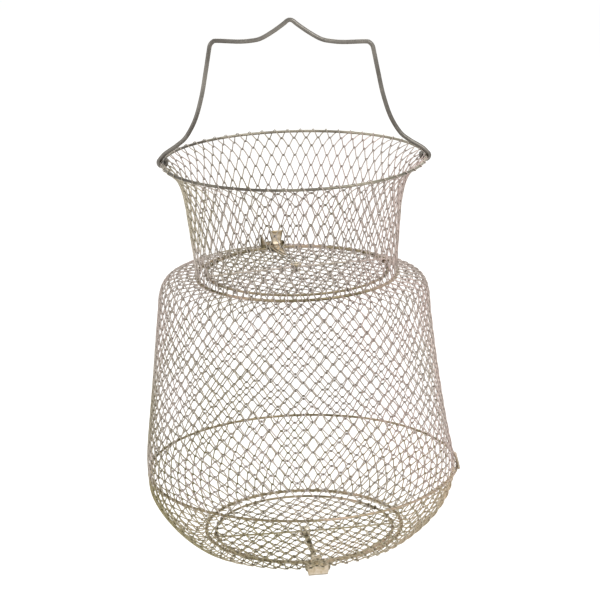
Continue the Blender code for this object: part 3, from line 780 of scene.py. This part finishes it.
# The panel of a closure: rows of linked netting wire across the ring, each end wrapped round the ring.
# A row is the same wave as in the walls, laid flat: along v, with its bends towards u.
def makePanel(title, seat, panel, metal):
    ring = closure["ringRadius"]
    wrap = closure["ringWire"] + netting["wire"] + netting["ringGap"]
    inner = ring - wrap
    rows = int(inner / panel["pitch"])
    tall, bend = panel["pitch"] + netting["overlap"], netting["bend"]
    cellV, cellU = (side[0] for side in cellWave(panel["cell"] / 2, 0.0, tall, bend, bend))
    many = int(ring / panel["cell"]) + 2
    cells = np.arange(-many, many)
    marks = np.tile(bendShade, len(cells))
    turn = arc(panelHook["turn"], panelHook["points"])
    tail = np.full(len(turn), panelHook["mark"])
    shape = Shape()
    for k in range(-rows, rows):
        v = (cellV[None] + (cells[:, None] + 0.5 * (k % 2)) * panel["cell"]).reshape(-1)
        u = np.tile(cellU, len(cells)) + k * panel["pitch"] - netting["overlap"] / 2
        waveV, waveU = panelWander["alongWaves"]
        u = u + panelWander["along"] * np.sin(waveV * v + panel["seed"] + k) * np.cos(waveU * u)
        waveV, waveU = panelWander["upWaves"]
        w = np.tile(cellOut, len(cells)) * netting["step"] + closure["lift"]
        w = w + panelWander["up"] * np.sin(waveV * v + panel["seed"]) * np.sin(waveU * u + 1)
        # The row runs from the point inside the ring that is nearest its middle out to the ring, both ways
        outside = np.hypot(u, v) > inner
        middle = np.argmin(np.where(outside, np.inf, np.abs(v)))
        past = np.nonzero(outside)[0]
        first = np.max(past[past < middle], initial=-1) + 1
        last = np.min(past[past > middle], initial=len(v))
        if outside[middle] or last - first < panelHook["leastPoints"]:
            continue
        row = pointsAt(u, v, w)[first:last]
        ends = []
        out, up = ring + wrap * np.cos(turn), closure["lift"] + wrap * np.sin(turn)
        for end in (row[0], row[-1]):
            x, y = unit(end[:2])
            ends.append(pointsAt(x * out, y * out, up))
        path = np.concatenate([ends[0][::-1], row, ends[1]])
        mark = np.concatenate([tail, marks[first:last], tail])
        addWire(shape, seat(path), netting["wire"], seatWay(seat, (0, 0, 1)), netting["sides"], mark=mark)
    shape.build(f"{title}Netting", metal, title, f"{title}_mesh", "mesh_wire")


# Straps: where they start, and how much narrower each edge is there than at the hinge. They widen between two
# shares of their length.
straps = {
    "lid": {"inner": 55 * mm, "taper": (0 * mm, 5 * mm), "widens": (0.0, 0.8), "metal": "sheetChromate"},
    "door": {"inner": 18 * mm, "taper": (3.2 * mm, 3.2 * mm), "widens": (0.72, 0.92), "metal": "sheetOliveShaded"},
}
strapFlat = {"corner": 2.0 * mm, "points": 26}
# The lid's lever is a tongue on the strap that bends up before the pin and widens as it rises. Its bend is in
# u from the pin and w from the strap, its tip in u from the pin and w from its rise.
lever = {
    "foot": 60.0 * mm, "rise": 20.5 * mm, "thin": 0.9, "corners": (2.0 * mm, 3.5 * mm), "points": 90,
    "onStrap": (0.0, 0.3, 0.65),        # shares of its way from the foot to the pin
    "bend": np.array([(-6.5, 0.75), (-3.2, 1.3), (-1.6, 4.0), (-0.6, 8.5)]) * mm,
    "tip": np.array([(0.4, -1.5), (0.1, 0.0), (-1.3, 0.6), (-2.3, -0.3)]) * mm,
    "shares": (0.0, 0.45, 0.66, 1.0),   # of its length, where its two edges are given
    "edges": np.array([(-5.5, -5.8, -8.0, -12.8), (-1.0, 2.7, 0.5, 4.2)]) * mm,
}
knuckle = {"gap": 0.3 * mm, "turn": (90, -172), "points": 22}        # degrees round the pin
clamp = {"from": 84.0 * mm, "length": 12.8 * mm, "under": 0.65 * mm, "corner": 1.5 * mm, "points": 24}


# The hinge strap: from its inner end, flat over the netting, then curled into a knuckle round the pin
def makeStrap(title, seat, pinU, pinW, strap):
    shape = Shape()
    w, half, sheet = closure["strapW"], closure["strapHalf"], closure["sheet"]
    widthWay = seatWay(seat, (0, 1, 0))
    flatLength = pinU - strap["inner"]
    flat = strap["inner"] + easedSteps(flatLength, strapFlat["points"])
    radius = closure["pinWire"] + knuckle["gap"] + sheet / 2
    turn = arc(knuckle["turn"], knuckle["points"])[1:]
    u = np.concatenate([flat, pinU + radius * np.cos(turn)])
    up = np.concatenate([np.full(len(flat), w), pinW + radius * np.sin(turn)])
    path = pointsAt(u, 0, up)
    along = lengthsAlong(path)
    start, end = strap["widens"]
    taper = 1 - np.clip((along / flatLength - start) / (end - start), 0, 1)
    inset = roundedEnds(along, strapFlat["corner"], 0)
    low, high = inset - half + taper * strap["taper"][0], half - inset - taper * strap["taper"][1]
    addStrip(shape, seat(path), low, high, sheet, widthWay)
    if title == "lid":
        onStrap = [(lever["foot"] + share * (pinU - lever["foot"]), w + sheet) for share in lever["onStrap"]]
        risen = np.concatenate([lever["bend"] + (pinU, w), lever["tip"] + (pinU, lever["rise"])])
        u, up = smoothPath([*onStrap, *risen], lever["points"]).T
        path = pointsAt(u, 0, up)
        along = lengthsAlong(path)
        low, high = (np.interp(along / along[-1], lever["shares"], edge) for edge in lever["edges"])
        inset = roundedEnds(along, *lever["corners"])
        addStrip(shape, seat(path), low + inset, high - inset, sheet * lever["thin"], widthWay)
    shape.build(f"{title}StrapSheet", strap["metal"], title, f"{title}_strap", "sheet")

    shape = Shape()
    along = easedSteps(clamp["length"], clamp["points"])
    below = closure["lift"] - closure["ringWire"] - clamp["under"]
    path = pointsAt(clamp["from"] + along, 0, below)
    half = half - roundedEnds(along, clamp["corner"], clamp["corner"])
    addStrip(shape, seat(path), -half, half, sheet, widthWay)
    shape.build(f"{title}ClampSheet", "sheetChromate", title, f"{title}_clamp_plate", "sheet")


# Brackets: how high their web and their ears reach. The heights of a pair of ears are at +v and at -v.
brackets = {
    "lid": {"high": 9.0 * mm, "endHalf": 9.0 * mm, "earTop": (17.0 * mm, 9.0 * mm),
            "earLow": (-3.0 * mm, 0.4 * mm)},
    "door": {"high": 16.0 * mm, "endHalf": 10.9 * mm, "earTop": (11.0 * mm, 11.0 * mm),
             "earLow": (0.4 * mm, 0.4 * mm)},
}
bracketSheet = {
    "u": 102.8 * mm, "sheet": 0.8 * mm, "half": 13.1 * mm, "low": 0.4 * mm, "bend": 1.8 * mm, "eye": 3.0 * mm,
    "earPoints": 14, "bendPoints": 7, "webPoints": 22,
    "webFrom": 0.3 * mm,         # how near to the web its own height begins
    # painted shade on the ears and the edges: how far in from the ears it reaches, how far it fades, and how
    # wide it is along the edges
    "shadeFrom": 2.6 * mm, "shadeOver": 1.2 * mm, "rim": 1.2 * mm,
    "tabAt": 7.25 * mm, "tabHalf": 2.25 * mm, "tabRadius": 2.95 * mm, "tabOut": 2.55 * mm,
    "tabTurn": (180, 342), "tabPoints": 16, "tabTop": (4.5 * mm, 1.2 * mm),
}


# The bracket on the ring: one bent sheet, ear, web and ear, with two tabs curled round the ring
def makeBracket(title, seat, pinU, pinW, bracket):
    shape, made = Shape(), bracketSheet
    half, webU, bend, eye = made["half"], made["u"], made["bend"], made["eye"]
    quarter = np.linspace(0, math.pi / 2, made["bendPoints"])
    ear = pinU - eye + easedSteps(webU - bend - pinU + eye, made["earPoints"])
    u = np.concatenate([ear, webU - bend + bend * np.sin(quarter[1:])])
    v = np.concatenate([np.full(len(ear), half), half - bend + bend * np.cos(quarter[1:])])
    web = np.linspace(half - bend, bend - half, made["webPoints"])[1:-1]
    u, v = np.concatenate([u, np.full(len(web), webU), u[::-1]]), np.concatenate([v, web, -v[::-1]])
    # Each ear is an eye round the pin that widens to the web, and the web comes up or down to its own height
    circle = np.sqrt(np.maximum(eye ** 2 - np.clip(u - pinU, -eye, eye) ** 2, 0))
    share = np.clip((u - pinU) / (webU - pinU), 0, 1)
    inWeb = np.clip((half - bend - np.abs(v)) / (half - bend - bracket["endHalf"]), 0, 1)
    edges = []
    for way, ears, webEdge in ((-1, bracket["earLow"], made["low"]), (1, bracket["earTop"], bracket["high"])):
        earEdge = np.where(v > 0, *ears)
        edge = np.where(u > pinU, (pinW + way * eye) * (1 - share) + earEdge * share, pinW + way * circle)
        edges.append(np.where(u >= webU - made["webFrom"], earEdge + (webEdge - earEdge) * inWeb, edge))
    # The ears, bent back from the web, are darker: painted shade
    dark = np.clip((np.abs(v) - half + made["shadeFrom"]) / made["shadeOver"], 0, 1)
    path = pointsAt(u, v, 0)
    addStrip(shape, seat(path), *edges, made["sheet"], seatWay(seat, (0, 0, 1)), dark, made["rim"])
    turn = arc(made["tabTurn"], made["tabPoints"])
    centreU = webU + made["sheet"] / 2 + made["tabOut"]
    u = np.concatenate([[webU, webU], centreU + made["tabRadius"] * np.cos(turn)])
    w = np.concatenate([made["tabTop"], made["tabRadius"] * np.sin(turn)])
    widthWay = seatWay(seat, (0, 1, 0))
    for side in (-1, 1):
        path = pointsAt(u, side * made["tabAt"], w)
        addStrip(shape, seat(path), -made["tabHalf"], made["tabHalf"], made["sheet"], widthWay)
    ring = closures[title]["ring"]
    shape.build(f"{title}BracketSheet", "sheetChromate", ring, f"{title}_bracket", "sheet")


# Springs, each a pair of coils with a hairpin between them. The first points of its leg are counted from the
# pin and the start of the coil, and the last ones lie round the centre rivet.
spring = {
    "wire": 0.6 * mm, "radius": 1.75 * mm, "start": 6.8 * mm, "pitch": 1.22 * mm, "turns": 4, "perTurn": 14,
    "w": 7.7 * mm,
}
hairpin = {
    "points": 70,
    "fromCoil": np.array([(-1.0, -0.1, 1.75), (-3.5, -0.3, 2.1)]) * mm,
    "overStrap": (92.0 * mm, -0.6 * mm, 2.3 * mm),       # u, v from the start of the coil, w from the pin
    # two points of each arm: their u, how far below the spring's w they lie, and how far out from the middle
    "atU": (60.0 * mm, 30.0 * mm), "lowerBy": (1.0 * mm, 0.6 * mm),
    "lid": (4.2 * mm, 2.9 * mm), "door": (1.2 * mm, 0.9 * mm),
    "roundRivet": np.array([(4.0, 2.5, 0), (0, 2.7, 0), (-2.1, 2.1, 0), (-3.0, 0, 0)]) * mm,
}


# The double torsion spring: a helix each side of the strap, and a hairpin of two arms to the centre
def makeSpring(title, seat, pinU, pinW):
    turn = np.linspace(0, spring["turns"], spring["turns"] * spring["perTurn"] + 1)
    angle = math.pi / 2 + 2 * math.pi * turn
    spoke = pointsAt(np.cos(angle), 0, np.sin(angle))
    middle = pointsAt(pinU, spring["start"] + spring["pitch"] * (spring["turns"] - turn), pinW)
    u, v, w = hairpin["overStrap"]
    knots = [
        *(hairpin["fromCoil"] + (pinU, spring["start"], pinW)), (u, spring["start"] + v, pinW + w),
        *zip(hairpin["atU"], hairpin[title], spring["w"] - np.array(hairpin["lowerBy"])),
        *(hairpin["roundRivet"] + (0, 0, spring["w"])),
    ]
    leg = smoothPath(knots, hairpin["points"])
    side = np.concatenate([middle + spring["radius"] * spoke, leg[1:]])
    reference = np.concatenate([spoke, np.tile([0.0, 0.0, 1.0], (len(leg) - 1, 1))])
    path = np.concatenate([side, side[-2::-1] * (1, -1, 1)])
    reference = np.concatenate([reference, reference[-2::-1]])
    shape = Shape()
    addWire(shape, seat(path), spring["wire"], seatWay(seat, reference))
    shape.build(f"{title}SpringWire", "springChromate", title, f"{title}_spring", "spring_wire")


bar = {
    "wire": 0.95 * mm, "w": 5.7 * mm, "bow": 3.0 * mm, "short": 3.0 * mm, "gap": 0.15 * mm, "points": 60,
    "hookTurn": (80, -35), "hookPoints": 9,        # degrees round the ring
}


# The cross bar: a wire over the panel, bowed as a half wave of the cosine, whose ends hook down over the ring
def makeBar(title, seat, metal):
    reach = closure["ringRadius"]
    drop = closure["ringWire"] + bar["wire"] + bar["gap"]
    t = np.linspace(-1, 1, bar["points"])
    bow = bar["bow"] * np.cos(t * math.pi / 2)
    straight = pointsAt(bow, (reach - bar["short"]) * t, bar["w"])
    turn = arc(bar["hookTurn"], bar["hookPoints"])
    hook = pointsAt(0, reach + drop * np.cos(turn), closure["lift"] + drop * np.sin(turn))
    path = np.concatenate([hook[::-1] * (1, -1, 1), straight, hook])
    shape = Shape()
    addWire(shape, seat(path), bar["wire"], seatWay(seat, (1, 0, 0)), sides=10)
    shape.build(f"{title}CrossBarWire", metal, title, f"{title}_cross_bar", "spring_wire")


# Pins, rivets and washers. Profiles are in mm, and the pin's is of one end, from its middle out.
pinHead = {
    "at": 14.3 * mm,
    "profile": [(0, 0.85), (1.2, 0.8), (1.6, 0.6), (1.7, 0.3), (1.65, 0), (0.9, -0.02), (0.9, -0.2)],
}
strapRivet = {
    "u": 87.5 * mm, "under": 1.3 * mm, "over": 0.3 * mm, "shank": 1.2 * mm,
    "footRadius": 2.2 * mm, "headRadius": 2.3 * mm, "footDome": 0.6 * mm, "headDome": 1.0 * mm,
    "lid": 1.4, "door": 0.5,       # how many sheets it holds above the strap's middle
}
centreRivet = {
    "u": 3.5 * mm, "under": 1.4 * mm, "over": 1.0 * mm, "gap": 0.3 * mm, "shank": 1.2 * mm,
    "footRadius": 6.0 * mm, "headRadius": 2.6 * mm, "footDome": 0.7 * mm, "headDome": 1.1 * mm,
}
washerDish = [
    (1.5, 0.0), (4.6, 0.0), (5.6, -0.25), (5.95, -0.2), (6.05, 0.1), (5.9, 0.4), (5.5, 0.45), (4.6, 0.7),
    (1.5, 0.7),
]


# The fasteners of a closure, all turned shapes, each with its name, node, finish, body and slot, and then its
# profile, place, axis and number of sides
def makeFasteners(title, seat, pinU, pinW):
    end = np.array(pinHead["profile"]) * mm + (0, pinHead["at"])
    low = closure["lift"] - closure["ringWire"] - strapRivet["under"]
    high = closure["strapW"] + closure["sheet"] * strapRivet[title] + strapRivet["over"]
    top = spring["w"] + spring["wire"] + centreRivet["gap"]
    centre = (centreRivet["u"], 0, 0)
    through = rivetProfile(closure["lift"] - centreRivet["under"], top + centreRivet["over"], centreRivet)
    for name, node, metal, body, slot, profile, place, axis, sides in (
        ("HingePinRod", "hinge_pin", "pinZinc", closures[title]["ring"], "pins",
         np.concatenate([end, end[::-1] * (1, -1)]), (pinU, 0, pinW), "v", 16),
        ("StrapRivetHead", "strap_rivet", "pinZinc", title, "pins",
         rivetProfile(low, high, strapRivet), (strapRivet["u"], 0, 0), "w", 24),
        ("CentreWasherDisc", "centre_washer", "sheetChromate", title, "sheet",
         np.array(washerDish) * mm + (0, top), centre, "w", 36),
        ("CentreRivetHead", "centre_rivet", "pinZinc", title, "pins", through, centre, "w", 32),
    ):
        shape = Shape()
        addTurned(shape, seat, profile, place, axis, sides)
        shape.build(f"{title}{name}", metal, body, f"{title}_{node}", slot)


for title, made in closures.items():
    seat, pinU, pinW = seatOf(made)
    shape = Shape()
    path = ringPath(closure["ringRadius"], closure["lift"], made["seed"], wobble["panel"])
    addWire(shape, seat(path), closure["ringWire"], (0, 0, 1), sides=12, closed=True)
    shape.build(f"{title}RingWire", "ringChromate", title, f"{title}_ring", "ring_wire")
    makePanel(title, seat, panels[title], made["netting"])
    makeStrap(title, seat, pinU, pinW, straps[title])
    makeBracket(title, seat, pinU, pinW, brackets[title])
    makeSpring(title, seat, pinU, pinW)
    makeBar(title, seat, made["netting"])
    makeFasteners(title, seat, pinU, pinW)
    print(title, "made")


# Stage: a pale floor under the hanging net, and soft light
studio = {
    "floorZ": -0.80, "floorSize": 60.0, "floorTone": "f2f1ef", "glow": 0.45, "ambient": 0.62,
    "lampsFace": (0, 0, -0.3),
}
lamps = {
    "keyLamp": {"at": (1.6, -1.9, 1.7), "size": 1.6, "power": 34},
    "fillLamp": {"at": (-2.2, -1.2, 0.6), "size": 1.8, "power": 10},
    "rimLamp": {"at": (0.4, 2.2, 1.6), "size": 1.6, "power": 14},
}


# 1 where something is seen directly or in a reflection, and 0 for the light that it gives
def seenAs(tree, *rays):
    path = addNode(tree, "LightPath").outputs
    seen = path["Is Camera Ray"]
    for ray in rays:
        seen = addNode(tree, "Math", {0: seen, 1: path[ray]}, operation="MAXIMUM").outputs["Value"]
    return seen


def makeFloor():
    half, z = studio["floorSize"] / 2, studio["floorZ"]
    mesh = bpy.data.meshes.new("floor")
    corners = [(-half, -half, z), (half, -half, z), (half, half, z), (-half, half, z)]
    mesh.from_pydata(corners, [], [(0, 1, 2, 3)])
    floor = newObject("floor", mesh)
    paper = bpy.data.materials.new("matt white paper floor")
    paper.use_nodes = True
    tree = paper.node_tree
    tree.nodes.clear()
    diffuse = addNode(tree, "BsdfDiffuse", {"Color": fromHex(studio["floorTone"])}).outputs["BSDF"]
    seen = seenAs(tree, "Is Glossy Ray")
    glow = addNode(tree, "Math", {0: seen, 1: studio["glow"]}, operation="MULTIPLY")
    light = addNode(tree, "Emission", {"Color": (1, 1, 1, 1), "Strength": glow.outputs["Value"]})
    both = addNode(tree, "AddShader", {0: diffuse, 1: light.outputs["Emission"]}).outputs["Shader"]
    # Seen from below the floor isn't there
    clear = addNode(tree, "BsdfTransparent").outputs["BSDF"]
    under = addNode(tree, "NewGeometry").outputs["Backfacing"]
    shown = addNode(tree, "MixShader", {0: under, 1: both, 2: clear}).outputs["Shader"]
    addNode(tree, "OutputMaterial", {"Surface": shown})
    mesh.materials.append(paper)


# The surroundings are white where they are seen, directly or in a reflection, and dimmer as light
def makeSky():
    world = bpy.data.worlds.new("studio")
    bpy.context.scene.world = world
    world.use_nodes = True
    tree = world.node_tree
    tree.nodes.clear()
    seen = seenAs(tree, "Is Glossy Ray", "Is Transmission Ray")
    strength = addNode(tree, "MapRange", {"Value": seen, "To Min": studio["ambient"], "To Max": 1.0})
    sky = addNode(tree, "Background", {"Color": (1, 1, 1, 1), "Strength": strength.outputs["Result"]})
    addNode(tree, "OutputWorld", {"Surface": sky.outputs["Background"]})


def makeLamps():
    for name, lamp in lamps.items():
        light = bpy.data.lights.new(name, "AREA")
        light.shape = "DISK"
        light.size = lamp["size"]
        light.energy = lamp["power"]
        made = newObject(name, light)
        way = Vector(studio["lampsFace"]) - Vector(lamp["at"])
        made.matrix_world = Matrix.Translation(lamp["at"]) @ way.to_track_quat("-Z", "Y").to_matrix().to_4x4()


makeFloor()
makeSky()
makeLamps()
bpy.context.scene.view_settings.view_transform = "Standard"
print("stage and lamps ready")
